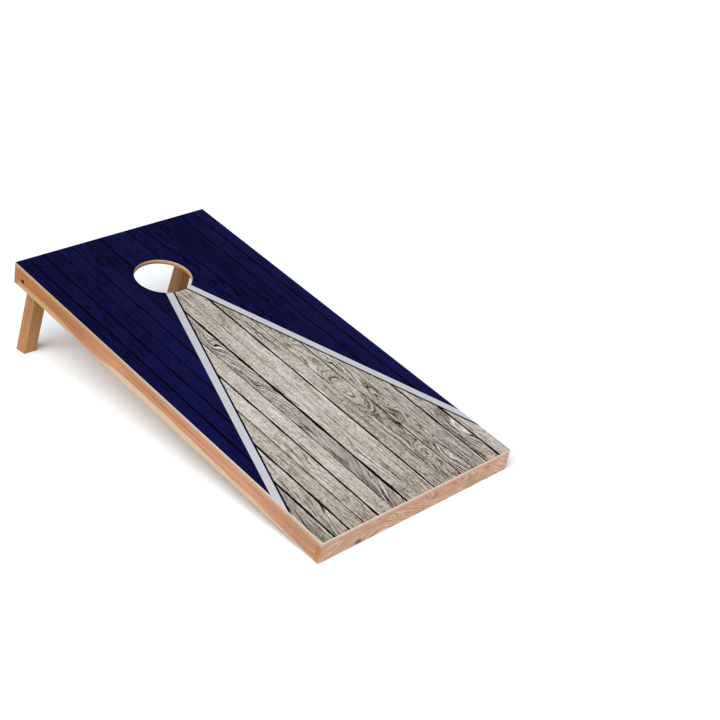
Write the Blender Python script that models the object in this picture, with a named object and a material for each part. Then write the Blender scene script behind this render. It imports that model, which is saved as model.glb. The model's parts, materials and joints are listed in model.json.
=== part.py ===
"""Cornhole board: a plywood deck on a wooden frame, standing on its front edge and two folding legs.

Board coordinates: X runs across the board and Y from its front edge (Y = 0) to its rear edge.
Z is the normal of the deck, with Z = 0 on the playing face. The empty "board" tilts all of it.
World coordinates: Z = 0 is the ground, and the origin is the centre of the bounding box's base.
"""
from math import asin, atan2, cos, hypot, pi, radians, sin, tan

import bmesh
import bpy
from mathutils import Matrix, Vector

MM = 0.001
GAP = 0.3 * MM                     # left between pieces that touch on the real board

# Board
BOARD_WIDTH = 609.6 * MM
BOARD_LENGTH = 1219.2 * MM
REAR_HEIGHT = 300 * MM             # ground to the rear edge of the playing face
DECK_THICKNESS = 12 * MM
HOLE_RADIUS = 76.2 * MM
HOLE_FROM_REAR = 228.6 * MM
EASE = 1.2 * MM                    # rounding of the outer edges

# Frame
RAIL_THICKNESS = 15 * MM
RAIL_HEIGHT = 50 * MM
BRACE_HEIGHT = 44 * MM
EDGE_FLAT_DEPTH = 0.8 * MM         # what is planed off the front rail's lower edge, where it stands

# Legs and their pivots
LEG_SIZE = 38 * MM
LEG_LEAN = radians(10)             # backwards from the normal of the deck
PIVOT_DEPTH = 38 * MM              # below the playing face
BLOCK_THICKNESS = 18 * MM
BLOCK_LENGTH = 88 * MM
BOLT_RADIUS = 4 * MM
BOLT_LENGTH = 80 * MM
BOLT_HEAD_RADIUS = 6.5 * MM
BOLT_HEAD_HEIGHT = 8 * MM
BOLT_HEAD_SUNK = 1 * MM
SOCKET_WIDTH = 6 * MM              # across flats of the hexagon socket
SOCKET_DEPTH = 4 * MM
WASHER_RADIUS = 11 * MM
WASHER_THICKNESS = 1.6 * MM
NUT_WIDTH = 13 * MM                # across flats
NUT_HEIGHT = 6 * MM
NUT_COLLAR_RADIUS = 5.8 * MM
NUT_COLLAR_HEIGHT = 2 * MM

# Wood screws
SCREW_RADIUS = 2 * MM
SCREW_HEAD_RADIUS = 4 * MM
SCREW_HEAD_HEIGHT = 2.4 * MM
DRIVE_WIDTH = 2.4 * MM             # square drive
DRIVE_DEPTH = 1.4 * MM
POCKET_RADIUS = 4.6 * MM
POCKET_ANGLE = radians(15)
POCKET_SEAT = 12 * MM              # from the joint to the head's seat, along the rail
POCKET_REACH = 34 * MM             # how far a pocket cutter runs out past its seat
CORNER_SCREW_LENGTH = 25 * MM
DECK_SCREW_LENGTH = 20 * MM
BLOCK_SCREW_LENGTH = 28 * MM

# Roundness
HOLE_SIDES = 64
BOLT_SIDES = 20
SCREW_SIDES = 10
HEAD_STEPS = 16                    # round top end of a leg

# Places that follow from the sizes above
HALF_WIDTH = BOARD_WIDTH / 2
RAIL_INNER = HALF_WIDTH - RAIL_THICKNESS
RAIL_MIDDLE = HALF_WIDTH - RAIL_THICKNESS / 2
RAIL_TOP = -DECK_THICKNESS - GAP
RAIL_BOTTOM = -DECK_THICKNESS - RAIL_HEIGHT
BRACE_BOTTOM = -DECK_THICKNESS - BRACE_HEIGHT
REAR_INNER = BOARD_LENGTH - RAIL_THICKNESS
HOLE_Y = BOARD_LENGTH - HOLE_FROM_REAR
BLOCK_OUTER = RAIL_INNER - GAP
BLOCK_INNER = BLOCK_OUTER - BLOCK_THICKNESS
LEG_OUTER = BLOCK_INNER - WASHER_THICKNESS - 2 * GAP
LEG_X = LEG_OUTER - LEG_SIZE / 2
LEG_INNER = LEG_OUTER - LEG_SIZE
NUT_FACE = LEG_INNER - WASHER_THICKNESS - 2 * GAP

# The leg leans back until it meets the lower inner edge of the rear rail
PIVOT_Y = (REAR_INNER - GAP - LEG_SIZE / 2 / cos(LEG_LEAN)
           - (-PIVOT_DEPTH - RAIL_BOTTOM) * tan(LEG_LEAN))
PIVOT_Z = -PIVOT_DEPTH

# Tilt that lifts the rear edge of the playing face to REAR_HEIGHT
TILT = (asin((REAR_HEIGHT + EDGE_FLAT_DEPTH) / hypot(BOARD_LENGTH, RAIL_BOTTOM))
        - atan2(-RAIL_BOTTOM, BOARD_LENGTH))
LEG_TILT = TILT + LEG_LEAN
PIVOT_HEIGHT = PIVOT_Y * sin(TILT) + (PIVOT_Z - RAIL_BOTTOM) * cos(TILT) - EDGE_FLAT_DEPTH
HEEL_Z = -(PIVOT_HEIGHT + LEG_SIZE / 2 * sin(LEG_TILT)) / cos(LEG_TILT)
TOE_Z = -(PIVOT_HEIGHT - LEG_SIZE / 2 * sin(LEG_TILT)) / cos(LEG_TILT)

FINISHES = {
    # name: (colour, roughness, metallic)
    "printed_plywood": ((0.30, 0.28, 0.30), 0.35, 0.0),
    "frame_wood": ((0.54, 0.27, 0.13), 0.5, 0.0),
    "leg_wood": ((0.48, 0.23, 0.11), 0.5, 0.0),
    "black_steel": ((0.02, 0.02, 0.02), 0.4, 0.8),
    "zinc_steel": ((0.55, 0.55, 0.57), 0.35, 1.0),
}
FACES = {"x-": (-1, 0, 0), "x+": (1, 0, 0), "y-": (0, -1, 0), "y+": (0, 1, 0), "z-": (0, 0, -1), "z+": (0, 0, 1)}


def clear_scene():
    for thing in list(bpy.data.objects):
        bpy.data.objects.remove(thing)


def make_finishes():
    for name, (colour, roughness, metallic) in FINISHES.items():
        finish = bpy.data.materials.new(name)
        finish.use_nodes = True
        shader = finish.node_tree.nodes["Principled BSDF"]
        shader.inputs["Base Color"].default_value = (*colour, 1)
        shader.inputs["Roughness"].default_value = roughness
        shader.inputs["Metallic"].default_value = metallic
        finish.diffuse_color = (*colour, 1)


def add_empty(name, parent, location, turn):
    empty = bpy.data.objects.new(name, None)
    bpy.context.collection.objects.link(empty)
    empty.parent = parent
    empty.location = location
    empty.rotation_euler = (turn, 0, 0)
    return empty


def add_object(name, bm, finish, parent):
    bmesh.ops.recalc_face_normals(bm, faces=bm.faces)
    mesh = bpy.data.meshes.new(name)
    bm.to_mesh(mesh)
    bm.free()
    mesh.shade_smooth()
    mesh.set_sharp_from_angle(angle=radians(35))
    thing = bpy.data.objects.new(name, mesh)
    bpy.context.collection.objects.link(thing)
    thing.parent = parent
    if finish:
        mesh.materials.append(bpy.data.materials[finish])
    return thing


def add_cutter(name, bm, parent):
    cutter = add_object(name, bm, None, parent)
    cutter.hide_render = True
    cutter.display_type = "WIRE"
    return cutter


def cut(thing, cutter):
    boolean = thing.modifiers.new("cut", "BOOLEAN")
    boolean.operation = "DIFFERENCE"
    boolean.solver = "EXACT"
    boolean.object = cutter


def face_name(face):
    return max(FACES, key=lambda name: face.normal.dot(Vector(FACES[name])))


def box(low, high):
    """A box between two corners, as a bmesh."""
    low = Vector(low)
    high = Vector(high)
    bm = bmesh.new()
    bmesh.ops.create_cube(bm, size=1)
    bmesh.ops.scale(bm, vec=high - low, verts=bm.verts)
    bmesh.ops.translate(bm, vec=(low + high) / 2, verts=bm.verts)
    return bm


def ease_edges(bm, pairs, radius=EASE):
    """Round the edges that lie between the named pairs of faces."""
    bm.normal_update()
    wanted = [set(pair.split()) for pair in pairs]
    edges = [edge for edge in bm.edges if {face_name(face) for face in edge.link_faces} in wanted]
    bmesh.ops.bevel(bm, geom=edges, offset=radius, segments=3, profile=0.5, affect="EDGES")


def turned(profile, sides):
    """A closed solid of revolution about Z, from (radius, height) points that start and end on the axis."""
    bm = bmesh.new()
    points = [bm.verts.new((radius, 0, height)) for radius, height in profile]
    edges = [bm.edges.new(pair) for pair in zip(points, points[1:])]
    bmesh.ops.spin(bm, geom=points + edges, cent=(0, 0, 0), axis=(0, 0, 1), angle=2 * pi, steps=sides,
                   use_merge=True)
    bmesh.ops.remove_doubles(bm, verts=bm.verts, dist=1e-6)
    return bm


def ring(inner, outer, low, high, sides):
    """A plain washer about Z."""
    bm = bmesh.new()
    corners = [(inner, low), (outer, low), (outer, high), (inner, high)]
    points = [bm.verts.new((radius, 0, height)) for radius, height in corners]
    edges = [bm.edges.new(pair) for pair in zip(points, points[1:] + points[:1])]
    bmesh.ops.spin(bm, geom=points + edges, cent=(0, 0, 0), axis=(0, 0, 1), angle=2 * pi, steps=sides,
                   use_merge=True)
    bmesh.ops.remove_doubles(bm, verts=bm.verts, dist=1e-6)
    return bm


def prism(sides, radius, low, high):
    """A regular prism about Z."""
    bm = bmesh.new()
    bmesh.ops.create_cone(bm, cap_ends=True, segments=sides, radius1=radius, radius2=radius, depth=high - low)
    bmesh.ops.translate(bm, vec=(0, 0, (low + high) / 2), verts=bm.verts)
    return bm


def aim(bm, place, direction):
    """Move a solid made about Z so that Z points along the direction, from the place."""
    turn = Vector(direction).to_track_quat("Z", "Y").to_matrix().to_4x4()
    bmesh.ops.transform(bm, matrix=Matrix.Translation(place) @ turn, verts=bm.verts)
    return bm


def merge(solids):
    """One bmesh that holds separate solids."""
    whole = bmesh.new()
    for solid in solids:
        mesh = bpy.data.meshes.new("part")
        solid.to_mesh(mesh)
        solid.free()
        whole.from_mesh(mesh)
        bpy.data.meshes.remove(mesh)
    return whole


# Wood screws ---------------------------------------------------------------------------------

def screw_solid(length):
    """A screw about Z: the seat of its head is at 0 and its point at +length."""
    tip = 4 * MM
    return turned([(0, -SCREW_HEAD_HEIGHT), (0.7 * SCREW_HEAD_RADIUS, -SCREW_HEAD_HEIGHT),
                   (SCREW_HEAD_RADIUS, -0.4 * SCREW_HEAD_HEIGHT), (SCREW_HEAD_RADIUS, 0), (SCREW_RADIUS, 0),
                   (SCREW_RADIUS, length - tip), (0, length)], SCREW_SIDES)


def screw_hole(length, head_reach):
    """The hole a screw needs, with a pocket or counterbore that runs out head_reach from the seat."""
    shank = SCREW_RADIUS + GAP
    return turned([(0, -head_reach), (POCKET_RADIUS, -head_reach), (POCKET_RADIUS, GAP), (shank, GAP),
                   (shank, length + GAP), (0, length + GAP)], SCREW_SIDES)


def add_screw(name, seat, direction, length, head_reach, holes, pieces, board):
    """One screw, whose hole is added to the holes of each of the pieces it goes through."""
    screw = add_object(name, aim(screw_solid(length), seat, direction), "zinc_steel", board)
    drive = box((-DRIVE_WIDTH / 2, -DRIVE_WIDTH / 2, -2 * SCREW_HEAD_HEIGHT),
                (DRIVE_WIDTH / 2, DRIVE_WIDTH / 2, DRIVE_DEPTH - SCREW_HEAD_HEIGHT))
    cut(screw, add_cutter("drive_" + name, aim(drive, seat, direction), board))
    for piece in pieces:
        holes.setdefault(piece, []).append(aim(screw_hole(length, head_reach), seat, direction))


def pocket_screw(name, joint, along, outward, length, holes, pieces, board):
    """A screw in a slanted pocket. It crosses the joint at the middle of the first piece's thickness."""
    direction = Vector(along) * cos(POCKET_ANGLE) + Vector(outward) * sin(POCKET_ANGLE)
    seat = Vector(joint) - direction * (POCKET_SEAT / cos(POCKET_ANGLE))
    add_screw(name, seat, direction, length, POCKET_REACH, holes, pieces, board)


def add_corner_screws(holes, board):
    heights = (RAIL_TOP - 0.3 * RAIL_HEIGHT, RAIL_TOP - 0.72 * RAIL_HEIGHT)
    for side, sign in (("left", -1), ("right", 1)):
        for end, joint_y, along in (("front", RAIL_THICKNESS, -1), ("rear", REAR_INNER, 1)):
            for number, height in enumerate(heights, 1):
                pocket_screw(f"{end}_{side}_corner_screw_{number}", (sign * RAIL_MIDDLE, joint_y, height),
                             (0, along, 0), (sign, 0, 0), CORNER_SCREW_LENGTH, holes,
                             (side + "_rail", end + "_rail"), board)


def add_brace_screws(holes, board):
    heights = (RAIL_TOP - 0.3 * BRACE_HEIGHT, RAIL_TOP - 0.72 * BRACE_HEIGHT)
    for side, sign in (("left", -1), ("right", 1)):
        for number, height in enumerate(heights, 1):
            pocket_screw(f"brace_{side}_screw_{number}", (sign * RAIL_INNER, BOARD_LENGTH / 2, height),
                         (sign, 0, 0), (0, 1, 0), CORNER_SCREW_LENGTH, holes,
                         ("centre_brace", side + "_rail"), board)


def add_deck_screws(holes, board):
    up = (0, 0, 1)
    for side, sign in (("left", -1), ("right", 1)):
        for number, part in enumerate((0.17, 0.4, 0.72), 1):
            pocket_screw(f"deck_{side}_screw_{number}", (sign * RAIL_MIDDLE, part * BOARD_LENGTH, RAIL_TOP),
                         up, (sign, 0, 0), DECK_SCREW_LENGTH, holes, (side + "_rail", "deck_panel"), board)
    middle = RAIL_THICKNESS / 2
    rows = (("front", "front_rail", middle, -1), ("rear", "rear_rail", BOARD_LENGTH - middle, 1),
            ("brace", "centre_brace", BOARD_LENGTH / 2, 1))
    for row, piece, y, outward in rows:
        for number, sign in enumerate((-1, 1), 1):
            pocket_screw(f"deck_{row}_screw_{number}", (sign * BOARD_WIDTH / 5, y, RAIL_TOP), up,
                         (0, outward, 0), DECK_SCREW_LENGTH, holes, (piece, "deck_panel"), board)


def add_block_screws(holes, board):
    y = REAR_INNER - BLOCK_LENGTH + 14 * MM
    heights = (RAIL_TOP - 0.28 * BRACE_HEIGHT, RAIL_TOP - 0.72 * BRACE_HEIGHT)
    for side, sign in (("left", -1), ("right", 1)):
        for number, height in enumerate(heights, 1):
            seat = (sign * (BLOCK_INNER + SCREW_HEAD_HEIGHT + GAP), y, height)
            add_screw(f"{side}_block_screw_{number}", seat, (sign, 0, 0), BLOCK_SCREW_LENGTH,
                      2 * SCREW_HEAD_HEIGHT, holes, (side + "_pivot_block", side + "_rail"), board)


# Wooden pieces -------------------------------------------------------------------------------

def bag_hole():
    """Cutter of the bag hole, which flares at both faces to leave a rounded rim."""
    steps = 2
    reach = 5 * MM
    top = [(HOLE_RADIUS + EASE * (1 - cos(pi / 2 * step / steps)),
            -EASE * (1 - sin(pi / 2 * step / steps))) for step in range(steps + 1)]
    bottom = [(radius, -DECK_THICKNESS - height) for radius, height in reversed(top)]
    flare = HOLE_RADIUS + EASE
    profile = [(0, -DECK_THICKNESS - reach), (flare, -DECK_THICKNESS - reach), *bottom,
               *top, (flare, reach), (0, reach)]
    return aim(turned(profile, HOLE_SIDES), (0, HOLE_Y, 0), (0, 0, 1))


def add_deck(board):
    bm = box((-HALF_WIDTH, 0, -DECK_THICKNESS), (HALF_WIDTH, BOARD_LENGTH, 0))
    ease_edges(bm, ["x- z+", "x+ z+", "y- z+", "y+ z+", "x- y-", "x+ y-", "x- y+", "x+ y+"])
    deck = add_object("deck_panel", bm, "printed_plywood", board)
    cut(deck, add_cutter("bag_hole", bag_hole(), board))
    return deck


def add_side_rail(side, sign, board):
    inner, outer = sorted((sign * RAIL_INNER, sign * HALF_WIDTH))
    bm = box((inner, RAIL_THICKNESS + GAP, RAIL_BOTTOM), (outer, REAR_INNER - GAP, RAIL_TOP))
    ease_edges(bm, ["x- z-", "x+ z-"])
    return add_object(side + "_rail", bm, "frame_wood", board)


def add_front_rail(board):
    """The lower front edge is planed flat to the ground."""
    bm = box((-HALF_WIDTH, 0, RAIL_BOTTOM), (HALF_WIDTH, RAIL_THICKNESS, RAIL_TOP))
    ease_edges(bm, ["x- y-", "x+ y-", "y+ z-"])
    rail = add_object("front_rail", bm, "frame_wood", board)
    reach = 10 * MM
    plane = box((-BOARD_WIDTH, -reach, -reach), (BOARD_WIDTH, reach, 0))
    turn = Matrix.Rotation(-TILT, 4, "X")
    place = Matrix.Translation((0, 0, RAIL_BOTTOM + EDGE_FLAT_DEPTH / cos(TILT)))
    bmesh.ops.transform(plane, matrix=place @ turn, verts=plane.verts)
    cut(rail, add_cutter("ground_plane", plane, board))
    return rail


def add_rear_rail(board):
    bm = box((-HALF_WIDTH, REAR_INNER, RAIL_BOTTOM), (HALF_WIDTH, BOARD_LENGTH, RAIL_TOP))
    ease_edges(bm, ["x- y+", "x+ y+", "y+ z-"])
    return add_object("rear_rail", bm, "frame_wood", board)


def add_brace(board):
    half = RAIL_INNER - GAP
    y = BOARD_LENGTH / 2
    bm = box((-half, y - RAIL_THICKNESS / 2, BRACE_BOTTOM), (half, y + RAIL_THICKNESS / 2, RAIL_TOP))
    ease_edges(bm, ["y- z-", "y+ z-"])
    return add_object("centre_brace", bm, "frame_wood", board)


def add_pivot_block(side, sign, board):
    low, high = sorted((sign * BLOCK_INNER, sign * BLOCK_OUTER))
    bm = box((low, REAR_INNER - GAP - BLOCK_LENGTH, BRACE_BOTTOM), (high, REAR_INNER - GAP, RAIL_TOP))
    inner = "x+" if sign < 0 else "x-"
    ease_edges(bm, [inner + " z-", inner + " y-", "y- z-"])
    return add_object(side + "_pivot_block", bm, "frame_wood", board)


def add_leg(side, sign, board):
    """A square leg with a round top end, whose origin is on its pivot. Its foot is cut to the ground."""
    pivot = add_empty(side + "_leg_pivot", board, (sign * LEG_X, PIVOT_Y, PIVOT_Z), LEG_LEAN)
    half = LEG_SIZE / 2
    arc = [(half * cos(pi * step / HEAD_STEPS), half * sin(pi * step / HEAD_STEPS))
           for step in range(HEAD_STEPS + 1)]
    outline = [*arc, (-half, TOE_Z), (half, HEEL_Z)]
    bm = bmesh.new()
    face = bm.faces.new([bm.verts.new((-half, y, z)) for y, z in outline])
    extruded = bmesh.ops.extrude_face_region(bm, geom=[face])
    moved = [item for item in extruded["geom"] if isinstance(item, bmesh.types.BMVert)]
    bmesh.ops.translate(bm, vec=(LEG_SIZE, 0, 0), verts=moved)
    leg = add_object(side + "_leg", bm, "leg_wood", pivot)
    bevel = leg.modifiers.new("eased", "BEVEL")
    bevel.width = EASE
    bevel.segments = 3
    bevel.limit_method = "ANGLE"
    bevel.angle_limit = radians(40)
    bore = prism(BOLT_SIDES, BOLT_RADIUS + 2 * GAP, -LEG_SIZE, LEG_SIZE)
    cut(leg, add_cutter(side + "_leg_bore", aim(bore, (0, 0, 0), (1, 0, 0)), pivot))
    return leg


# Pivot hardware ------------------------------------------------------------------------------

def pivot_place(x, sign):
    return Vector((sign * x, PIVOT_Y, PIVOT_Z))


def add_bolt(side, sign, holes, board):
    """A socket head bolt about the pivot, put in from outside, its head sunk in the side rail."""
    inward = (-sign, 0, 0)
    seat = HALF_WIDTH - BOLT_HEAD_SUNK - BOLT_HEAD_HEIGHT
    chamfer = 0.8 * MM
    profile = [(0, -BOLT_HEAD_HEIGHT), (BOLT_HEAD_RADIUS - chamfer, -BOLT_HEAD_HEIGHT),
               (BOLT_HEAD_RADIUS, chamfer - BOLT_HEAD_HEIGHT), (BOLT_HEAD_RADIUS, 0), (BOLT_RADIUS, 0),
               (BOLT_RADIUS, BOLT_LENGTH - chamfer), (BOLT_RADIUS - chamfer, BOLT_LENGTH), (0, BOLT_LENGTH)]
    bolt = add_object(side + "_pivot_bolt", aim(turned(profile, BOLT_SIDES), pivot_place(seat, sign), inward),
                      "black_steel", board)
    socket = prism(6, SOCKET_WIDTH / 2 / cos(pi / 6), -2 * BOLT_HEAD_HEIGHT, SOCKET_DEPTH - BOLT_HEAD_HEIGHT)
    cut(bolt, add_cutter(side + "_bolt_socket", aim(socket, pivot_place(seat, sign), inward), board))
    shank = BOLT_RADIUS + GAP
    head = BOLT_HEAD_RADIUS + 1.5 * GAP
    hole = [(0, -2 * BOLT_HEAD_HEIGHT), (head, -2 * BOLT_HEAD_HEIGHT), (head, GAP), (shank, GAP),
            (shank, BOLT_LENGTH), (0, BOLT_LENGTH)]
    for piece in (side + "_rail", side + "_pivot_block"):
        solid = aim(turned(hole, BOLT_SIDES), pivot_place(seat, sign), inward)
        holes.setdefault(piece, []).append(solid)


def add_washer(name, x, sign, board):
    """A washer whose outer face, away from the board's middle, is at the distance x from it."""
    solid = ring(BOLT_RADIUS + GAP, WASHER_RADIUS, 0, WASHER_THICKNESS, BOLT_SIDES)
    add_object(name, aim(solid, pivot_place(x, sign), (-sign, 0, 0)), "zinc_steel", board)


def add_nut(side, sign, board):
    """A hexagon nut with the round collar of its locking ring."""
    top = NUT_HEIGHT + NUT_COLLAR_HEIGHT
    nut = prism(6, NUT_WIDTH / 2 / cos(pi / 6), 0, NUT_HEIGHT)
    place = pivot_place(NUT_FACE, sign)
    inward = (-sign, 0, 0)
    body = add_object(side + "_lock_nut", aim(nut, place, inward), "zinc_steel", board)
    collar = prism(BOLT_SIDES, NUT_COLLAR_RADIUS, NUT_HEIGHT / 2, top)
    union = body.modifiers.new("collar", "BOOLEAN")
    union.operation = "UNION"
    union.solver = "EXACT"
    union.object = add_cutter(side + "_nut_collar", aim(collar, place, inward), board)
    bore = prism(BOLT_SIDES, BOLT_RADIUS + GAP, -NUT_HEIGHT, 2 * top)
    cut(body, add_cutter(side + "_nut_bore", aim(bore, place, inward), board))


def world_centre_y():
    """World Y of the middle of the bounding box, before the board is moved onto the origin."""
    front = EASE * (1 - cos(TILT))
    pivot = PIVOT_Y * cos(TILT) - PIVOT_Z * sin(TILT)
    heel = pivot + LEG_SIZE / 2 * cos(LEG_TILT) - HEEL_Z * sin(LEG_TILT)
    return (front + heel) / 2


def main():
    clear_scene()
    make_finishes()
    lift = -RAIL_BOTTOM * cos(TILT) - EDGE_FLAT_DEPTH
    board = add_empty("board", None, (0, -world_centre_y(), lift), TILT)
    pieces = {"deck_panel": add_deck(board), "front_rail": add_front_rail(board),
              "rear_rail": add_rear_rail(board), "centre_brace": add_brace(board)}
    holes = {}
    for side, sign in (("left", -1), ("right", 1)):
        pieces[side + "_rail"] = add_side_rail(side, sign, board)
        pieces[side + "_pivot_block"] = add_pivot_block(side, sign, board)
        add_leg(side, sign, board)
        add_bolt(side, sign, holes, board)
        add_washer(side + "_block_washer", BLOCK_INNER - GAP, sign, board)
        add_washer(side + "_nut_washer", LEG_INNER - GAP, sign, board)
        add_nut(side, sign, board)
    add_corner_screws(holes, board)
    add_brace_screws(holes, board)
    add_deck_screws(holes, board)
    add_block_screws(holes, board)
    for piece, solids in holes.items():
        cut(pieces[piece], add_cutter(piece + "_holes", merge(solids), board))


main()
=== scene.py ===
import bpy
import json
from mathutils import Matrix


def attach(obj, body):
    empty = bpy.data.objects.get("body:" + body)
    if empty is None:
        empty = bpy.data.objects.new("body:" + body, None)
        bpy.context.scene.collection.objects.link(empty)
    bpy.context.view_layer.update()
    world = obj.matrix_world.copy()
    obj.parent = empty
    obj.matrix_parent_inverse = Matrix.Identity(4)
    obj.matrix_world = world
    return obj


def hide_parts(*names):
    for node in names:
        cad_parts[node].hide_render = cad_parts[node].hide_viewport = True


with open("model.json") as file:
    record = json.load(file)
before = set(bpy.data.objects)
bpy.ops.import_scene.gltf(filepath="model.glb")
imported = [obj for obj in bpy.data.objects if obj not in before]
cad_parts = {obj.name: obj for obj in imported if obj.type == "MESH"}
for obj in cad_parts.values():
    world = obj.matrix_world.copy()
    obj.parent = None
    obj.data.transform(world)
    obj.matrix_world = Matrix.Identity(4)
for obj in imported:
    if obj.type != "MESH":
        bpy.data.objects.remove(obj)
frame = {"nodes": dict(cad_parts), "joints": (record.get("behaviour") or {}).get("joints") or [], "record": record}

"""Looks of the cornhole board.

Patterns are laid out in board coordinates, in metres: X across the board, Y from its front edge to its
rear edge, Z along the normal of the deck with Z = 0 on the playing face. BOARD turns them into the
frame's own coordinates. Each leg has coordinates of its own: Z runs up the leg from its pivot.
"""
import json
from math import atan2, cos, e, pi, radians, sin

import bmesh
import bpy
from mathutils import Matrix, Vector

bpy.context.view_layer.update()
MM = 0.001

# ---------------------------------------------------------------------------------- the board's frame

NODES = frame["nodes"]
PLAYING_FACE = next(mount for mount in frame["record"]["mounts"] if mount["name"] == "playing_face")
NORMAL = Vector(PLAYING_FACE["axis"])
TILT = atan2(-NORMAL.y, NORMAL.z)
TURN = Matrix.Rotation(TILT, 4, "X")
LEG_LEAN = radians(10)                 # backwards from the normal of the deck


def turned_box(node, turn):
    """Lowest and highest corner of a CAD node along the axes of a turned frame."""
    corners = [turn.inverted() @ vertex.co for vertex in NODES[node].data.vertices]
    low = Vector(min(corner[axis] for corner in corners) for axis in range(3))
    high = Vector(max(corner[axis] for corner in corners) for axis in range(3))
    return low, high


DECK_LOW, DECK_HIGH = turned_box("deck_panel", TURN)
BOARD = TURN @ Matrix.Translation((0, DECK_LOW.y, DECK_HIGH.z))
WIDTH, LENGTH, DECK_THICKNESS = DECK_HIGH - DECK_LOW
RAIL_BOTTOM = turned_box("left_rail", TURN)[0].z - DECK_HIGH.z
RAIL_HEIGHT = -DECK_THICKNESS - RAIL_BOTTOM
HOLE_RADIUS = 76.2 * MM                # the regulation bag hole
HOLE_Y = LENGTH - 228.6 * MM
EASE = 1.2 * MM                        # rounding of the deck's edges


def leg_frame(side):
    """Coordinates of a leg: the origin is its pivot and Z runs up the leg."""
    joint = next(joint for joint in frame["joints"] if joint["child"] == side + "_leg")
    return Matrix.Translation(joint["pos_m"]) @ Matrix.Rotation(TILT + LEG_LEAN, 4, "X")


# -------------------------------------------------------------------------------- patterns from nodes

class Field:
    """A number or a colour that varies over a surface: the output of a node. Arithmetic adds Math nodes."""

    def __init__(self, socket):
        self.socket = socket
        self.tree = socket.id_data

    def __add__(self, other):
        return calculate("ADD", self, other)

    def __sub__(self, other):
        return calculate("SUBTRACT", self, other)

    def __rsub__(self, other):
        return calculate("SUBTRACT", other, self)

    def __mul__(self, other):
        return calculate("MULTIPLY", self, other)

    def __truediv__(self, other):
        return calculate("DIVIDE", self, other)

    __radd__ = __add__
    __rmul__ = __mul__


def put(value, place):
    """Feed an input with a field, or set it to a number or colour."""
    if isinstance(value, Field):
        value.tree.links.new(value.socket, place)
    else:
        place.default_value = value


def add_node(kind, like):
    return like.tree.nodes.new("ShaderNode" + kind)


def calculate(operation, *values):
    node = add_node("Math", next(value for value in values if isinstance(value, Field)))
    node.operation = operation
    for value, place in zip(values, node.inputs):
        put(value, place)
    return Field(node.outputs[0])


def largest(first, second):
    return calculate("MAXIMUM", first, second)


def size_of(field):
    return calculate("ABSOLUTE", field)


def root(field):
    return calculate("SQRT", field)


def between(field, low, high, start=0.0, end=1.0):
    """Goes smoothly from start to end while the field goes from low to high."""
    node = add_node("MapRange", field)
    node.interpolation_type = "SMOOTHSTEP"
    for value, place in zip((field, low, high, start, end), node.inputs):
        put(value, place)
    return Field(node.outputs[0])


def vector(x, y, z):
    node = add_node("CombineXYZ", next(value for value in (x, y, z) if isinstance(value, Field)))
    for value, place in zip((x, y, z), node.inputs):
        put(value, place)
    return Field(node.outputs[0])


def noise(x, y, z, detail=2.0, roughness=0.5):
    """Noise around 0.5, with one feature about every unit of x, y and z.

    So noise(x * 30, y * 5, ...) has about 30 features in a metre across and 5 along, and the third
    number only picks another pattern where it is not a coordinate.
    """
    place = vector(x, y, z)
    node = add_node("TexNoise", place)
    put(place, node.inputs["Vector"])
    node.inputs["Scale"].default_value = 1
    node.inputs["Detail"].default_value = detail
    node.inputs["Roughness"].default_value = roughness
    return Field(node.outputs["Fac"])


def waves(field):
    """Goes from 0 to 1 and back once for each unit of the field."""
    return calculate("SINE", field * (2 * pi)) * 0.5 + 0.5


def linear(red, green, blue):
    """A colour given as 0 to 255 on a screen, as the light that it stands for."""
    def light(part):
        part = part / 255
        return part / 12.92 if part <= 0.04045 else ((part + 0.055) / 1.055) ** 2.4
    return (light(red), light(green), light(blue), 1.0)


def ramp(field, stops, steps=False):
    """A colour for each value of the field, from (value, colour) stops."""
    node = add_node("ValToRGB", field)
    node.color_ramp.interpolation = "CONSTANT" if steps else "LINEAR"
    elements = node.color_ramp.elements
    while len(elements) < len(stops):
        elements.new(1)
    for element, (value, colour) in zip(elements, stops):
        element.position = value
        element.color = colour
    put(field, node.inputs["Fac"])
    return Field(node.outputs["Color"])


def curve(field, points):
    """A smooth curve through (x, y) points, for a field from 0 to 1."""
    node = add_node("FloatCurve", field)
    line = node.mapping.curves[0]
    while len(line.points) < len(points):
        line.points.new(1, 1)
    for point, place in zip(line.points, points):
        point.location = place
    node.mapping.update()
    put(field, node.inputs["Value"])
    return Field(node.outputs["Value"])


def mix(factor, first, second, blend="MIX"):
    node = add_node("MixRGB", factor if isinstance(factor, Field) else first)
    node.blend_type = blend
    for value, place in zip((factor, first, second), node.inputs):
        put(value, place)
    return Field(node.outputs[0])


def filtered(colour, tint, factor=1.0):
    """A colour seen through a coloured filter, as far as the factor goes from 0 to 1."""
    return mix(factor, colour, tint, "MULTIPLY")


def parts_of(colour):
    node = add_node("SeparateColor", colour)
    put(colour, node.inputs[0])
    return [Field(output) for output in node.outputs]


def local_point(tree, matrix):
    """Coordinates of the surface in the frame of the matrix: three fields."""
    inverse = matrix.inverted()
    place = tree.nodes.new("ShaderNodeTexCoord")
    mapping = tree.nodes.new("ShaderNodeMapping")
    mapping.inputs["Location"].default_value = inverse.translation
    mapping.inputs["Rotation"].default_value = inverse.to_euler()
    tree.links.new(place.outputs["Object"], mapping.inputs["Vector"])
    split = tree.nodes.new("ShaderNodeSeparateXYZ")
    tree.links.new(mapping.outputs["Vector"], split.inputs[0])
    return [Field(output) for output in split.outputs]


def calculate_vector(operation, *values):
    node = add_node("VectorMath", values[0])
    node.operation = operation
    for value, place in zip(values, node.inputs):
        put(value, place)
    return Field(node.outputs["Value" if operation == "DOT_PRODUCT" else "Vector"])


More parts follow.
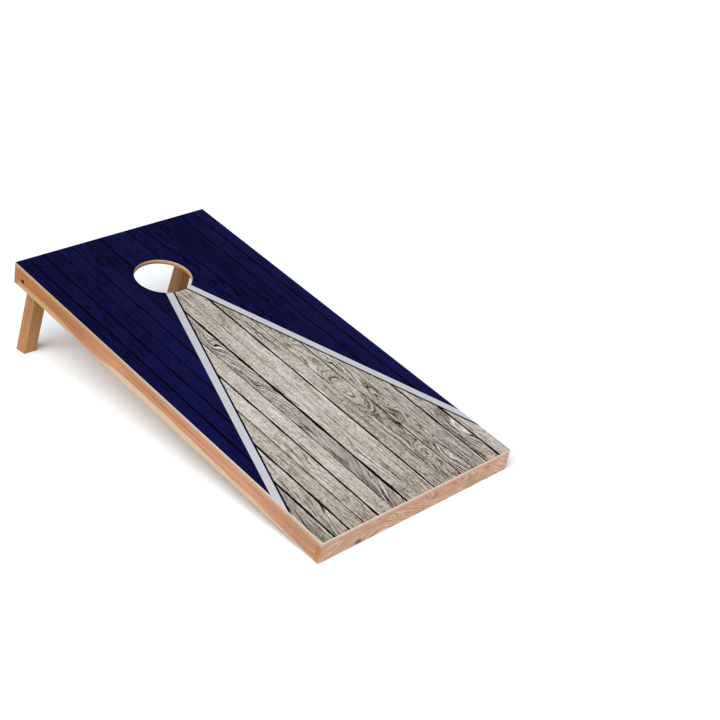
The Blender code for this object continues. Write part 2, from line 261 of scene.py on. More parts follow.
def squared_distance(point, place, size):
    """Square of the distance from a place, counted in sizes, in the first two coordinates of a point."""
    scale = (1 / size[0], 1 / size[1], 0)
    shift = (-place[0] / size[0], -place[1] / size[1], 0)
    away = calculate_vector("MULTIPLY_ADD", point, scale, shift)
    return calculate_vector("DOT_PRODUCT", away, away)


def hump(point, place, size):
    """1 at a place, falling smoothly to 0 over about twice the size."""
    return calculate("POWER", 1 / e, squared_distance(point, place, size))


def cone(point, place, size):
    """1 at a place, falling evenly to 0 at the size."""
    return largest(1 - root(squared_distance(point, place, size)), 0)


def new_material(name, roughness, specular):
    material = bpy.data.materials.new(name)
    material.use_nodes = True
    shader = material.node_tree.nodes["Principled BSDF"]
    shader.inputs["Roughness"].default_value = roughness
    shader.inputs["Specular IOR Level"].default_value = specular
    return material, shader


def finish_surface(shader, colour, roughness=None, height=None, depth=0.1 * MM):
    """Give the shader its colour, and its roughness and bump where they vary."""
    put(colour, shader.inputs["Base Color"])
    if roughness is not None:
        put(roughness, shader.inputs["Roughness"])
    if height is not None:
        bump = add_node("Bump", height)
        bump.inputs["Strength"].default_value = 1
        bump.inputs["Distance"].default_value = depth
        put(height, bump.inputs["Height"])
        height.tree.links.new(bump.outputs[0], shader.inputs["Normal"])


# ---------------------------------------------------------------------------- the printed playing face

# Planks from left to right: where each begins, how wide and deep its left seam is, its tone, how strongly
# it shows growth rings, and how close its rings lie
PLANKS = [
    # start (m), seam width (mm), seam depth, tone, rings, closeness
    (-0.3048, 0.0, 0.0, 0.66, 1.15, 1.1),
    (-0.2677, 4.6, 1.0, 0.71, 0.95, 1.0),
    (-0.2240, 4.4, 1.0, 0.57, 0.25, 1.0),
    (-0.1813, 2.8, 0.9, 0.66, 0.35, 0.7),
    (-0.1366, 4.4, 1.0, 0.67, 0.25, 0.6),
    (-0.0910, 2.4, 0.9, 0.69, 1.35, 1.0),
    (-0.0477, 5.6, 1.0, 0.70, 0.50, 0.9),
    (-0.0023, 1.8, 0.6, 0.68, 0.20, 0.6),
    (0.0418, 4.2, 1.0, 0.59, 0.25, 0.6),
    (0.0846, 2.2, 0.8, 0.60, 0.50, 0.22),
    (0.1319, 3.0, 0.9, 0.63, 0.95, 0.5),
    (0.1747, 1.8, 0.6, 0.71, 1.40, 1.1),
    (0.2208, 3.8, 1.0, 0.71, 0.80, 0.7),
    (0.2661, 4.6, 1.0, 0.72, 0.30, 0.8),
]
LIFT = 0.11                            # added to the tone of every plank
# Light and shade of the printed planks along the board, in parts of its length: 0.5 changes nothing
FADING = [(0.0, 0.36), (0.06, 0.40), (0.18, 0.45), (0.31, 0.48), (0.43, 0.51), (0.50, 0.47), (0.66, 0.37),
          (0.8, 0.34), (1.0, 0.32)]
# Where the grain of a plank bends: the plank, the place, half width and half length of the bend, and how
# far it pushes the grain sideways
BENDS = [
    # plank, x (m), y (m), half width (m), half length (m), push (m)
    (5, -0.070, 0.340, 0.200, 0.220, -0.060),
    (5, -0.086, 0.500, 0.018, 0.040, 0.016),
    (5, -0.088, 0.240, 0.016, 0.050, -0.012),
    (5, -0.078, 0.690, 0.016, 0.060, 0.018),
    (6, -0.040, 0.160, 0.020, 0.120, 0.016),
    (9, 0.128, 0.020, 0.030, 0.040, 0.018),
    (9, 0.118, 0.640, 0.018, 0.044, 0.012),
    (9, 0.100, 0.905, 0.016, 0.036, 0.018),
    (10, 0.151, 0.246, 0.018, 0.026, -0.012),
    (10, 0.167, 0.165, 0.010, 0.050, 0.008),
    (10, 0.146, 0.060, 0.014, 0.060, 0.008),
    (12, 0.245, 0.130, 0.020, 0.090, 0.018),
    (12, 0.236, 0.210, 0.016, 0.050, -0.010),
    (3, -0.158, 0.205, 0.016, 0.044, 0.012),
    (0, -0.290, -0.080, 0.080, 0.200, 0.060),
    (1, -0.250, -0.080, 0.080, 0.200, 0.060),
    (5, -0.070, -0.060, 0.080, 0.160, 0.040),
    (4, -0.110, 1.120, 0.020, 0.050, 0.024),
    (2, -0.200, 0.760, 0.016, 0.060, 0.018),
    (11, 0.190, 0.780, 0.016, 0.060, -0.020),
    (1, -0.245, 0.960, 0.014, 0.050, -0.016),
    (12, 0.245, 1.080, 0.016, 0.050, 0.018),
]
# Ovals in the grain, nested at even distances
OVALS = [
    # plank, x (m), y (m), half width (m), half length (m), push (m)
    (9, 0.101, 0.375, 0.036, 0.110, 0.029),
    (9, 0.112, 0.098, 0.022, 0.052, 0.015),
    (10, 0.154, 0.300, 0.022, 0.160, 0.016),
    (10, 0.141, 0.505, 0.012, 0.030, 0.009),
]
# Dark patches in the grain: place, half width, half length and darkness
PATCHES = [
    # x (m), y (m), half width (m), half length (m), darkness
    (-0.082, 0.315, 0.007, 0.028, 0.45),
    (-0.084, 0.505, 0.009, 0.030, 0.40),
    (-0.084, 0.195, 0.005, 0.050, 0.50),
    (-0.084, 0.065, 0.007, 0.050, 0.40),
    (-0.083, 0.570, 0.007, 0.024, 0.35),
    (-0.084, 0.700, 0.007, 0.040, 0.35),
    (-0.040, 0.030, 0.008, 0.030, 0.28),
    (-0.008, 0.060, 0.009, 0.070, 0.20),
    (0.106, 0.250, 0.013, 0.036, 0.24),
    (0.112, 0.103, 0.010, 0.014, 0.26),
    (0.093, 0.028, 0.009, 0.030, 0.30),
    (0.150, 0.252, 0.010, 0.022, 0.40),
    (0.139, 0.505, 0.005, 0.012, 0.34),
    (0.141, 0.132, 0.006, 0.016, 0.34),
    (0.140, 0.214, 0.010, 0.005, 0.34),
    (0.128, 0.205, 0.005, 0.030, 0.30),
    (0.060, 0.300, 0.020, 0.110, 0.10),
    (0.240, 0.180, 0.012, 0.060, 0.25),
    (0.232, 0.060, 0.008, 0.060, 0.25),
    (-0.200, 0.240, 0.014, 0.050, 0.14),
    (-0.158, 0.240, 0.014, 0.040, 0.16),
    (-0.296, 0.080, 0.006, 0.080, 0.35),
    (-0.110, 1.120, 0.010, 0.020, 0.50),
    (0.100, 0.905, 0.007, 0.014, 0.50),
    (0.020, 0.020, 0.022, 0.110, 0.14),
    (0.105, 0.660, 0.020, 0.060, 0.12),
]
# Splits and sharp streaks: from one end to the other, their width, and their darkness
SPLITS = [
    # x (m), y (m), x (m), y (m), width (mm), darkness
    (0.0625, 0.770, 0.0700, 0.535, 2.6, 1.0),
    (-0.0465, 0.432, -0.0350, 0.370, 2.2, 0.8),
    (-0.0440, 0.415, -0.0390, 0.380, 1.2, 0.6),
    (0.1435, 0.520, 0.1520, 0.395, 1.8, 0.7),
    (0.1450, 0.345, 0.1610, 0.262, 1.6, 0.5),
    (0.1325, 0.330, 0.1370, 0.250, 1.6, 0.5),
    (0.1020, 0.110, 0.0960, 0.030, 1.8, 0.5),
    (0.1080, 0.034, 0.1250, 0.086, 1.8, 0.6),
    (0.1620, 0.190, 0.1640, 0.100, 1.4, 0.4),
    (-0.0790, 0.330, -0.0810, 0.262, 2.0, 0.6),
    (-0.0850, 0.236, -0.0830, 0.166, 2.0, 0.7),
    (-0.2820, 0.130, -0.2790, 0.000, 1.8, 0.6),
    (-0.2900, 0.110, -0.2880, 0.000, 1.6, 0.6),
    (-0.2520, 0.120, -0.2500, 0.000, 1.4, 0.5),
]

TRIANGLE_APEX = 1.039                  # y where the outer edges of the stripes would meet
TRIANGLE_SLOPE = 0.352                 # half width for each unit of length
STRIPE_WIDTH = 20.6 * MM               # measured across the board
LINE_WIDTH = 5.4 * MM                  # thin line inside each stripe
EDGE_SOFTNESS = 0.5 * MM

PLANK_COLOURS = [
    (0.00, linear(10, 6, 3)), (0.20, linear(80, 70, 59)), (0.40, linear(128, 119, 107)),
    (0.60, linear(167, 159, 149)), (0.80, linear(195, 188, 180)), (1.00, linear(215, 210, 204)),
]
NAVY = linear(18, 19, 69)
NAVY_DARK = linear(2, 2, 14)
LINE_NAVY = linear(8, 8, 30)
STRIPE_WHITE = linear(182, 183, 189)
STRIPE_LIGHT = linear(214, 216, 224)
TAN_FILTER = linear(228, 216, 198)
PINK_FILTER = linear(236, 218, 214)


def plank_facts(x):
    """Tone, strength of the rings and a phase of its own for the plank at x."""
    stops = []
    for number, (start, _, _, tone, rings, _) in enumerate(PLANKS):
        stops.append((start / WIDTH + 0.5, (tone, rings, number * 0.37 % 1, 1)))
    return parts_of(ramp(x / WIDTH + 0.5, stops, steps=True))


def seams_at(x, y):
    """Darkness of the gaps between planks, and the light that their worn edges catch."""
    wobble = (noise(x * 4, y * 5, 1.7) - 0.5) * (4 * MM) + (noise(x * 30, y * 60, 9.2) - 0.5) * (1.6 * MM)
    wear = noise(x * 9, y * 14, 4.1, detail=3)
    seams = x * 0
    edges = x * 0
    for start, width, depth, _, _, _ in PLANKS[1:]:
        distance = size_of(x + wobble - start)
        reach = wear * (width * 1.1 * MM) + (width * 0.18 * MM)
        seams = largest(seams, between(distance, reach * 0.6, reach * 1.1, depth, 0))
        edges = largest(edges, between(distance, reach, reach + 3.5 * MM, depth, 0))
    return seams, edges


def splits_at(x, y):
    """Darkness of the splits. A split is widest half way along."""
    sway = (noise(x * 60, y * 30, 2.0) - 0.5) * (4 * MM)
    total = x * 0
    for start_x, start_y, end_x, end_y, width, darkness in SPLITS:
        share = (y - start_y) / (end_y - start_y)
        distance = size_of(x + sway - start_x - share * (end_x - start_x))
        reach = between(size_of(share - 0.5), 0.1, 0.5, width * MM * 0.8, 0)
        total = largest(total, between(distance / largest(reach, 0.01 * MM), 0.4, 1.0, darkness, 0))
    return total


def bent_grain(x, y, own):
    """x, bent the way the grain of each plank bends."""
    bent = x + (noise(x * 9, y * 3, own, detail=2) - 0.5) * (12 * MM)
    bent = bent + (noise(x * 45, y * 16, own, detail=2) - 0.5) * (5 * MM)
    point = vector(x, y, own)
    ends = [plank[0] for plank in PLANKS] + [WIDTH / 2]
    for number, (start, _, _, _, _, closeness) in enumerate(PLANKS):
        middle = (start + ends[number + 1]) / 2
        push = (x - middle) * (closeness - 1)
        for shape, table in ((hump, BENDS), (cone, OVALS)):
            for plank, bend_x, bend_y, half_width, half_length, reach in table:
                if plank == number:
                    push = push + shape(point, (bend_x, bend_y), (half_width, half_length)) * reach
        bent = bent + push * calculate("COMPARE", x, middle, middle - start)
    return bent


def plank_value(x, y):
    """How light the printed planks are, from 0 to 1, and how deep their seams are."""
    tone, rings, phase = plank_facts(x)
    own = phase * 40
    bent = bent_grain(x, y, own)
    point = vector(x, y, own)
    dark = x * 0
    for patch_x, patch_y, half_width, half_length, darkness in PATCHES:
        dark = dark + hump(point, (patch_x, patch_y), (half_width, half_length)) * darkness
    broad = noise(bent * 75, y * 2.5, own, detail=3)
    lines = noise(bent * 150, y * 4, own, detail=2)
    streaks = noise(bent * 330, y * 9, own, detail=3, roughness=0.7)
    strokes = between(noise(bent * 270, y * 14, own + 7, detail=3, roughness=0.6), 0.54, 0.64)
    fibres = noise(bent * 900, y * 40, own, detail=2)
    speckle = noise(x * 380, y * 130, own, detail=1)
    blotches = noise(x * 26, y * 10, own, detail=3)
    growth = between(waves(bent * 235 + (streaks - 0.5) * 0.5), 0.50, 0.95)
    growth = growth * (between(blotches, 0.3, 0.6) * 0.6 + 0.4) * rings
    figured = rings * 0.65 + 0.42
    value = tone + LIFT + curve(y / LENGTH, FADING) - 0.5 + (broad - 0.5) * 0.16 - growth * 0.48
    value = value + ((lines - 0.5) * 0.50 + (streaks - 0.5) * 1.25 - strokes * 0.34) * figured
    value = value + (fibres - 0.5) * 0.4 + (speckle - 0.5) * 0.90 + (blotches - 0.5) * 0.12
    value = value - dark * (between(streaks, 0.62, 0.36) * 1.2 + 0.15)
    seams, edges = seams_at(x, y)
    # painted highlight along the worn edges of the seams
    value = value + edges * (fibres * 0.2)
    gaps = largest(seams, splits_at(x, y))
    return value * (1 - gaps), gaps


def printed_face_material():
    """Navy planks, with a triangle of weathered grey planks between two pale stripes."""
    material, shader = new_material("printed_planks", 0.5, 0.02)
    x, y, _ = local_point(material.node_tree, BOARD)
    value, gaps = plank_value(x, y)
    edge = size_of(x) - (TRIANGLE_APEX - y) * TRIANGLE_SLOPE
    inside_stripe = between(edge, -STRIPE_WIDTH - EDGE_SOFTNESS, -STRIPE_WIDTH + EDGE_SOFTNESS, 1, 0)
    line_end = -STRIPE_WIDTH - LINE_WIDTH
    inside_line = between(edge, line_end - EDGE_SOFTNESS, line_end + EDGE_SOFTNESS, 1, 0)
    in_triangle = between(edge, -EDGE_SOFTNESS, EDGE_SOFTNESS, 1, 0)
    navy = mix(between(value, 0.08, 0.80), NAVY_DARK, NAVY)
    greys = ramp(value, PLANK_COLOURS)
    tint = noise(x * 16, y * 9, 7.7, detail=3)
    greys = filtered(greys, TAN_FILTER, between(tint, 0.50, 0.72) * 0.30)
    greys = filtered(greys, PINK_FILTER, between(tint, 0.48, 0.30) * 0.20)
    stripe = mix((value - 0.65) * 0.4 + 0.10, STRIPE_WHITE, STRIPE_LIGHT)
    colour = mix(in_triangle, navy, stripe)
    colour = mix(inside_stripe, colour, LINE_NAVY)
    colour = mix(inside_line, colour, greys)
    film = noise(x * 900, y * 900, 3.3)
    finish_surface(shader, colour, film * 0.16 + 0.42, value * 0.5 - gaps * 0.5, 0.12 * MM)
    return material


# ------------------------------------------------------------------------------------------------ wood

# Colour of the plywood's edge from its top face to its bottom face: five layers
PLY_LAYERS = [
    (0.00, linear(224, 208, 196)), (0.18, linear(220, 202, 188)), (0.25, linear(186, 156, 132)),
    (0.38, linear(198, 170, 148)), (0.44, linear(216, 190, 168)), (0.60, linear(208, 178, 152)),
    (0.66, linear(180, 144, 116)), (0.80, linear(190, 152, 122)), (0.86, linear(204, 168, 138)),
    (1.00, linear(198, 158, 126)),
]
VENEER = linear(222, 196, 160)
VENEER_GRAIN = linear(196, 162, 120)
PLY_PORES = linear(150, 108, 74)
SIDE_FILTER = linear(234, 236, 240)    # the edges at the sides are a little cooler
HOLE_SHADE_FILTER = linear(232, 210, 190)    # painted shade on the wall of the bag hole, darkest in its lower part
# the darkest painted shade, in the lower part of the hole wall
HOLE_LOW_SHADE = linear(110, 70, 46)


def plywood_material():
    """Birch plywood: layers on its edges and a pale veneer on its faces."""
    material, shader = new_material("birch_plywood", 0.55, 0.3)
    x, y, z = local_point(material.node_tree, BOARD)
    depth = (noise(x * 30, y * 30, 5.0) - 0.5) * 0.05 - z / DECK_THICKNESS
    pores = noise(x * 500, y * 500, z * 1500, detail=3)
    edge = ramp(depth, PLY_LAYERS)
    edge = mix(between(pores, 0.55, 0.75) * 0.5, edge, PLY_PORES)
    from_hole = root(x * x + (y - HOLE_Y) * (y - HOLE_Y)) - HOLE_RADIUS
    in_hole = between(from_hole, 2 * MM, 3 * MM, 1, 0)
    # painted shade on the wall of the bag hole, darkest towards its lower part
    edge = filtered(edge, HOLE_SHADE_FILTER, in_hole)
    low_shade = between(z + (pores - 0.5) * MM, -DECK_THICKNESS * 0.45, -DECK_THICKNESS * 0.8) * in_hole
    edge = mix(low_shade * 0.55, edge, HOLE_LOW_SHADE)
    on_side = between(size_of(x), WIDTH / 2 - 2 * MM, WIDTH / 2 - 1 * MM)
    edge = filtered(edge, SIDE_FILTER, on_side)
    # painted warm light: the side edges are more golden towards the rear
    edge = filtered(edge, REAR_WARM_LIGHT_FILTER, between(y, 0.3 * LENGTH, 0.85 * LENGTH) * on_side)
    grain = noise(x * 190 + noise(x * 8, y * 1.5, 1.0) * 9, y * 2.2, 6.0, detail=4)
    face = mix(between(grain, 0.4, 0.72) * 0.6, VENEER, VENEER_GRAIN)
    on_face = between(z, -DECK_THICKNESS + 0.2 * MM, -DECK_THICKNESS + 0.5 * MM, 1, 0)
    finish_surface(shader, mix(on_face, edge, face), pores * 0.2 + 0.45, pores, 0.1 * MM)
    return material


PORE_FILTER = linear(150, 120, 110)


def timber(along, across, through, seed, dark, light, ring_gap=5.0 * MM, figure=1.0, ring_depth=0.34):
    """Colour and height of solid timber, whose faces and ends agree.

    Growth rings run round a line beside the piece, ring_gap apart. The figure says how far the grain
    sways, and ring_depth how dark the rings are.
    """
    sway = (noise(along * 3, across * 12, through * 12 + seed, detail=2) - 0.5) * (26 * MM * figure)
    over = across + sway + 30 * MM
    down = through + sway * 0.5 + 18 * MM
    radius = root(over * over + down * down)
    rings = waves(radius / ring_gap + seed)
    late = between(rings, 0.25, 1.0)
    fibres = noise(along * 12, across * 700, through * 700 + seed, detail=4, roughness=0.6)
    streaks = noise(along * 3, across * 110 + sway * 60, through * 110 + seed, detail=3)
    pores = noise(along * 55, across * 1500, through * 1500 + seed, detail=1)
    value = late * ring_depth + (streaks - 0.5) * 0.9 + (fibres - 0.5) * 0.7 + 0.3
    value = value + (noise(along * 5, across * 9, seed, detail=2) - 0.5) * 0.5
    colour = mix(between(value, 0.0, 1.0), light, dark)
    pore_colour = tuple(part * share for part, share in zip(dark, PORE_FILTER))
    colour = mix(between(pores, 0.60, 0.74) * 0.35, colour, pore_colour)
    return colour, fibres * 0.7 + pores * 0.5


def at_ends(x):
    """1 on the ends of a rail that runs the full width of the board, 0 elsewhere."""
    return between(size_of(x), WIDTH / 2 - 0.4 * MM, WIDTH / 2 - 0.1 * MM)


# Height of the pale sapwood above the lower edge of a side rail, in parts of the rail's height, along
# the rail from front to rear
LEFT_SAPWOOD = [(0.0, 0.02), (0.08, 0.12), (0.25, 0.27), (0.42, 0.41), (0.54, 0.43), (0.64, 0.31),
                (0.72, 0.07), (0.76, 0.13), (0.86, 0.32), (1.0, 0.26)]
RIGHT_SAPWOOD = [(0.0, 0.30), (0.2, 0.22), (0.38, 0.05), (0.55, 0.20), (0.75, 0.36), (1.0, 0.12)]
SAPWOOD = linear(206, 179, 150)
SAPWOOD_DARK = linear(190, 150, 117)
# Colour of the side rails along their length, from front to rear: their own tone, with painted warm light that
# makes the rear more golden
RAIL_TONES = [
    (0.00, linear(196, 148, 112)), (0.22, linear(222, 170, 132)), (0.42, linear(208, 144, 106)),
    (0.64, linear(214, 156, 114)), (0.74, linear(198, 140, 94)), (0.84, linear(188, 125, 60)),
    (1.00, linear(186, 120, 60)),
]
REAR_WARM_LIGHT_FILTER = linear(236, 217, 184)    # painted warm light: everything pale is more golden towards the rear
RAIL_GRAIN_DARK = linear(190, 172, 158)
RAIL_GRAIN_LIGHT = linear(255, 255, 255)


def side_rail_material(side, sapwood, seed):
    """Red-brown timber with a wavy band of sapwood along its lower edge, and painted warm light that makes it more
    golden towards the rear.
    """
    material, shader = new_material(side + "_rail_wood", 0.5, 0.2)
    x, y, z = local_point(material.node_tree, BOARD)
    grain, height = timber(y, z, x, seed, RAIL_GRAIN_DARK, RAIL_GRAIN_LIGHT, ring_gap=9 * MM, figure=0.7)
    # the tone along the rail holds painted warm light towards the rear
    colour = filtered(ramp(y / LENGTH, RAIL_TONES), grain)
    edge = curve(y / LENGTH, sapwood) * RAIL_HEIGHT + (noise(y * 14, 3.0, seed) - 0.5) * (5 * MM)
    above = z - RAIL_BOTTOM - edge
    pale = mix(between(height, 0.4, 0.9), SAPWOOD, SAPWOOD_DARK)
    # painted warm light: the sapwood is more golden towards the rear
    pale = filtered(pale, REAR_WARM_LIGHT_FILTER, between(y, 0.6 * LENGTH, 0.85 * LENGTH))
    colour = mix(between(above, -2.5 * MM, 2.5 * MM, 1, 0), colour, pale)
    finish_surface(shader, colour, height * 0.22 + 0.36, height, 0.12 * MM)
    return material


# Knots in the front rail
FRONT_KNOTS = [
    # x (m), z (m), size (m), darkness
    (-0.186, -0.054, 0.009, 0.90),
    (0.050, -0.031, 0.010, 0.55),
    (0.166, -0.029, 0.009, 0.50),
    (-0.070, -0.040, 0.006, 0.30),
    (0.245, -0.036, 0.006, 0.25),
]
KNOT_PUSH = 14 * MM                    # how far a knot pushes the grain down
GRAIN_TOP_X = -120 * MM                # where the slanting grain of the front rail is highest
FRONT_DARK = linear(176, 131, 105)
FRONT_LIGHT = linear(212, 175, 150)
DARK_STREAK = linear(160, 106, 78)
LIGHT_STREAK = linear(232, 204, 180)
FRONT_TAN_FILTER = linear(236, 230, 196)
FRONT_PINK_FILTER = linear(255, 226, 220)
FRONT_END_FILTER = linear(228, 198, 164)
KNOT_COLOUR = linear(104, 64, 52)


def front_rail_material():
    """Rosy timber with small knots and wild, slanting grain."""
    material, shader = new_material("front_rail_wood", 0.5, 0.2)
    x, y, z = local_point(material.node_tree, BOARD)
    from_top = x - GRAIN_TOP_X
    slope = root(from_top * from_top + 0.001) * 0.38
    bent = z + slope + (noise(x * 12, z * 26, 2.0, detail=2) - 0.5) * (20 * MM)
    dark = x * 0
    point = vector(x, z, 0)
    for knot_x, knot_z, size, darkness in FRONT_KNOTS:
        bent = bent + hump(point, (knot_x, knot_z), (size * 2.6, size * 1.6)) * KNOT_PUSH
        dark = largest(dark, hump(point, (knot_x, knot_z), (size * 1.5, size)) * darkness)
    colour, height = timber(x, bent, y, 3.1, FRONT_DARK, FRONT_LIGHT, ring_gap=6.5 * MM, figure=0.5,
                            ring_depth=0.5)
    streaks = noise(x * 24, bent * 170, 8.0, detail=4, roughness=0.65)
    colour = mix(between(streaks, 0.50, 0.66) * 0.70, colour, DARK_STREAK)
    colour = mix(between(streaks, 0.48, 0.34) * 0.60, colour, LIGHT_STREAK)
    patches = noise(x * 10, z * 22, 1.5, detail=3)
    colour = filtered(colour, FRONT_TAN_FILTER, between(patches, 0.48, 0.62) * 0.7)
    colour = filtered(colour, FRONT_PINK_FILTER, between(patches, 0.48, 0.36) * 0.5)
    colour = mix(between(dark, 0.12, 0.95), colour, KNOT_COLOUR)
    colour = filtered(colour, FRONT_END_FILTER, at_ends(x))
    finish_surface(shader, colour, height * 0.22 + 0.36, height, 0.12 * MM)
    return material


PLAIN_DARK = linear(168, 112, 76)
PLAIN_LIGHT = linear(212, 160, 122)
REAR_END_FILTER = linear(208, 188, 156)
ACROSS_BOARD = (0, 2, 1)               # orders of the axes for pieces that run across or along the board
ALONG_BOARD = (1, 2, 0)


def plain_wood_material(name, axes, seed, end_filter=None):
    """Timber for plain frame pieces; axes orders board coordinates as along, across, through."""
    material, shader = new_material(name, 0.5, 0.3)
    point = local_point(material.node_tree, BOARD)
    along, across, through = [point[axis] for axis in axes]
    colour, height = timber(along, across, through, seed, PLAIN_DARK, PLAIN_LIGHT, ring_gap=7 * MM)
    if end_filter is not None:
        colour = filtered(colour, end_filter, at_ends(along))
    finish_surface(shader, colour, height * 0.22 + 0.38, height, 0.12 * MM)
    return material


LEG_DARK = linear(134, 85, 40)
LEG_LIGHT = linear(182, 130, 82)


def leg_material(side, seed):
    """Golden brown timber, in the coordinates of the leg, so that it folds with the leg."""
    material, shader = new_material(side + "_leg_wood", 0.5, 0.2)
    x, y, z = local_point(material.node_tree, leg_frame(side))
    colour, height = timber(z, x, y, seed, LEG_DARK, LEG_LIGHT, ring_gap=8 * MM, figure=0.8,
                            ring_depth=0.2)
    finish_surface(shader, colour, height * 0.22 + 0.36, height, 0.12 * MM)
    return material


# ----------------------------------------------------------------------------------------------- metal

def metal_material(name, colour, worn, roughness):
    """Plated steel with faint scratches and worn patches."""
    material, shader = new_material(name, roughness, 0.5)
    shader.inputs["Metallic"].default_value = 1.0
    x, y, z = local_point(material.node_tree, BOARD)
    stains = noise(x * 300, y * 300, z * 300, detail=4)
    scratches = noise(x * 2500, y * 300, z * 900, detail=2)
    colour = mix(between(stains, 0.4, 0.7), colour, worn)
    finish_surface(shader, colour, stains * 0.25 + (roughness - 0.12), scratches, 0.02 * MM)
    return material


# ---------------------------------------------------------------------------------------------- pieces

SHARP_ANGLE = radians(38)              # edges sharper than this are not shaded smooth


def add_deck_piece(name, bm, material):
    """A piece of the deck, whose mesh is given in board coordinates."""
    bmesh.ops.transform(bm, matrix=BOARD, verts=bm.verts)
    bmesh.ops.recalc_face_normals(bm, faces=bm.faces)
    mesh = bpy.data.meshes.new(name)
    bm.to_mesh(mesh)
    bm.free()
    mesh.shade_smooth()
    mesh.set_sharp_from_angle(angle=SHARP_ANGLE)
    mesh.materials.append(material)
    piece = bpy.data.objects.new(name, mesh)
    bpy.context.collection.objects.link(piece)
    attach(piece, "board")
    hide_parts("deck_panel")


def give_material(node, material):
    """Replace the plain material of a CAD node."""
    slots = NODES[node].data.materials
    slots.clear()
    slots.append(material)


HOLE_SIDES = 192
CORNER_STEPS = 5
CORNER_RADIUS = EASE + 0.8 * MM        # of the deck's outline, seen from above


def outline(inset):
    """The deck's outline, with rounded corners, as points in order."""
    radius = CORNER_RADIUS - inset
    points = []
    centre_x = WIDTH / 2 - inset - radius
    rear_y = LENGTH - inset - radius
    front_y = inset + radius
    for number, (side, y) in enumerate(((1, rear_y), (-1, rear_y), (-1, front_y), (1, front_y))):
        for step in range(CORNER_STEPS + 1):
            angle = (number + step / CORNER_STEPS) * pi / 2
            points.append((side * centre_x + radius * cos(angle), y + radius * sin(angle)))
    return points


def circle(radius):
    """Points on a circle round the middle of the bag hole."""
    turns = [2 * pi * step / HOLE_SIDES for step in range(HOLE_SIDES)]
    return [(radius * cos(turn), HOLE_Y + radius * sin(turn)) for turn in turns]


def add_loop(bm, points, height):
    loop = [bm.verts.new((x, y, height)) for x, y in points]
    for first, second in zip(loop, loop[1:] + loop[:1]):
        bm.edges.new((first, second))
    return loop


def join_loops(bm, lower, upper):
    for index in range(len(lower)):
        after = (index + 1) % len(lower)
        bm.faces.new((lower[index], lower[after], upper[after], upper[index]))


def pierced_panel(profile):
    """A panel with the bag hole, from (inset from the outline, height) points, bottom first."""
    bm = bmesh.new()
    rims = [add_loop(bm, outline(inset), height) for inset, height in profile]
    holes = [add_loop(bm, circle(HOLE_RADIUS + inset), height) for inset, height in profile]
    for loops in (rims, holes):
        for lower, upper in zip(loops, loops[1:]):
            join_loops(bm, lower, upper)
    for level in (0, -1):
        ends = set(rims[level]) | set(holes[level])
        edges = [edge for edge in bm.edges if edge.verts[0] in ends and edge.verts[1] in ends]
        bmesh.ops.triangle_fill(bm, edges=edges, use_beauty=True)
    return bm


FILM = 0.3 * MM                        # thickness of the print and its lacquer
LAP = 0.02 * MM                        # how far above the core the film begins
LOWER_EASE = 0.4 * MM                  # bevel of the deck's lower edges
ROUND_STEPS = 5


def rounded(inset, radius, top):
    """(inset, height) points of a rounded edge below the given top."""
    points = []
    for step in range(ROUND_STEPS + 1):
        angle = step * pi / 2 / ROUND_STEPS
        points.append((inset + radius * (1 - cos(angle)), top - radius * (1 - sin(angle))))
    return points


def add_deck():
    """The plywood core with rounded edges, and the printed film that lies on it."""
    round_radius = EASE - FILM
    bottom = [(LOWER_EASE, -DECK_THICKNESS), (0.0, -DECK_THICKNESS + LOWER_EASE)]
    core = pierced_panel(bottom + rounded(0, round_radius, -FILM))
    add_deck_piece("plywood_core", core, plywood_material())
    film = pierced_panel([(round_radius, -FILM + LAP)] + rounded(round_radius, FILM * 0.7, 0))
    add_deck_piece("printed_face", film, printed_face_material())


def dress_frame():
    """Timber for the rails, the brace, the pivot blocks and the legs."""
    give_material("left_rail", side_rail_material("left", LEFT_SAPWOOD, 1.3))
    give_material("right_rail", side_rail_material("right", RIGHT_SAPWOOD, 5.9))
    give_material("front_rail", front_rail_material())
    give_material("rear_rail", plain_wood_material("rear_rail_wood", ACROSS_BOARD, 7.7, REAR_END_FILTER))
    give_material("centre_brace", plain_wood_material("brace_wood", ACROSS_BOARD, 2.2))
    for side, seed in (("left", 4.4), ("right", 8.8)):
        give_material(side + "_pivot_block", plain_wood_material(side + "_block_wood", ALONG_BOARD, seed))
        give_material(side + "_leg", leg_material(side, seed + 1.5))


def dress_hardware():
    """Black pivot bolts; zinc-plated screws, washers and nuts."""
    black = metal_material("black_oxide", linear(9, 9, 10), linear(34, 33, 32), 0.42)
    zinc = metal_material("zinc_plate", linear(186, 188, 190), linear(150, 148, 140), 0.34)
    for node in NODES:
        if node.endswith("pivot_bolt"):
            give_material(node, black)
        elif "screw" in node or "washer" in node or "nut" in node:
            give_material(node, zinc)


# ----------------------------------------------------------------------------------------------- stage

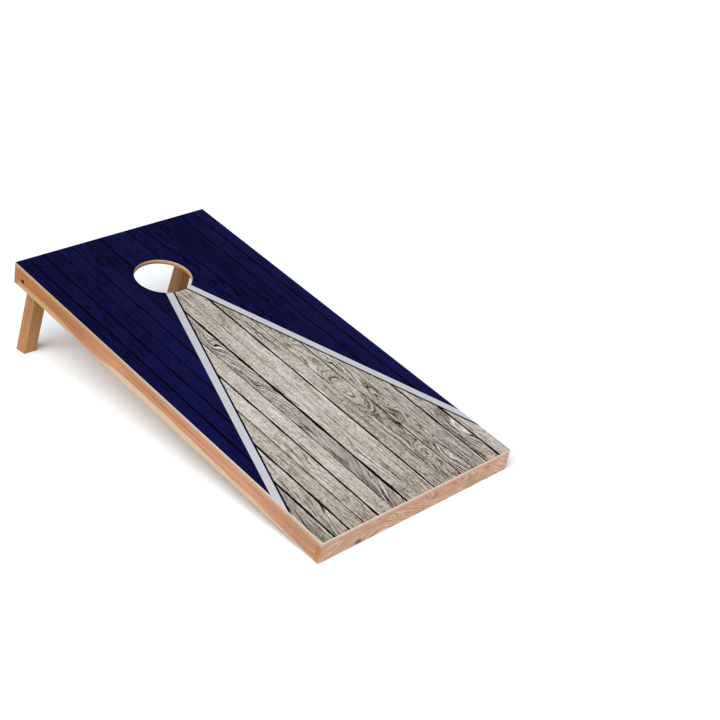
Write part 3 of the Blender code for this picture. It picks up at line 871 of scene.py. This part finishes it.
CAMERA_PLACE = (-2.0631, -2.50174, 1.84347)
CAMERA_TURN = (62.3925, -2.4979, -43.4518)        # degrees about X, Y and Z
CAMERA_LENS = 72.31                    # mm
SENSOR_WIDTH = 36                      # mm
FLOOR_REACH = 300                      # so far that its end is never seen
FLOOR_COLOUR = (0.94, 0.97, 1.0, 1)
SURROUNDINGS = 0.25                    # light of the white surroundings, which look pure white themselves
LIGHT_FROM = (-0.53, -0.36, 0.77)      # from the left, a little towards the front
LIGHT_WIDTH = radians(46)
LIGHT_STRENGTH = 3.55


def add_camera():
    """A camera that looks at the board from the front left."""
    camera = bpy.data.objects.new("camera", bpy.data.cameras.new("camera"))
    bpy.context.collection.objects.link(camera)
    camera.data.lens = CAMERA_LENS
    camera.data.sensor_width = SENSOR_WIDTH
    camera.data.clip_end = 4 * FLOOR_REACH
    camera.location = CAMERA_PLACE
    camera.rotation_euler = [radians(angle) for angle in CAMERA_TURN]
    bpy.context.scene.camera = camera


def add_floor():
    """A pale paper floor under the board."""
    bm = bmesh.new()
    bmesh.ops.create_grid(bm, x_segments=1, y_segments=1, size=FLOOR_REACH)
    mesh = bpy.data.meshes.new("floor")
    bm.to_mesh(mesh)
    bm.free()
    material, shader = new_material("floor_paper", 0.9, 0.0)
    put(FLOOR_COLOUR, shader.inputs["Base Color"])
    mesh.materials.append(material)
    floor = bpy.data.objects.new("floor", mesh)
    bpy.context.collection.objects.link(floor)


def add_light():
    """White surroundings and one large soft light from the left."""
    world = bpy.data.worlds.new("studio")
    world.use_nodes = True
    background = world.node_tree.nodes["Background"]
    background.inputs["Color"].default_value = (1, 1, 1, 1)
    seen = Field(world.node_tree.nodes.new("ShaderNodeLightPath").outputs["Is Camera Ray"])
    put(seen * (1 - SURROUNDINGS) + SURROUNDINGS, background.inputs["Strength"])
    bpy.context.scene.world = world
    sun = bpy.data.objects.new("soft_light", bpy.data.lights.new("soft_light", "SUN"))
    bpy.context.collection.objects.link(sun)
    sun.data.angle = LIGHT_WIDTH
    sun.data.energy = LIGHT_STRENGTH
    sun.rotation_euler = (-Vector(LIGHT_FROM)).to_track_quat("-Z", "Y").to_euler()
    bpy.context.scene.view_settings.view_transform = "Standard"


add_deck()
dress_frame()
dress_hardware()
add_floor()
add_light()
add_camera()
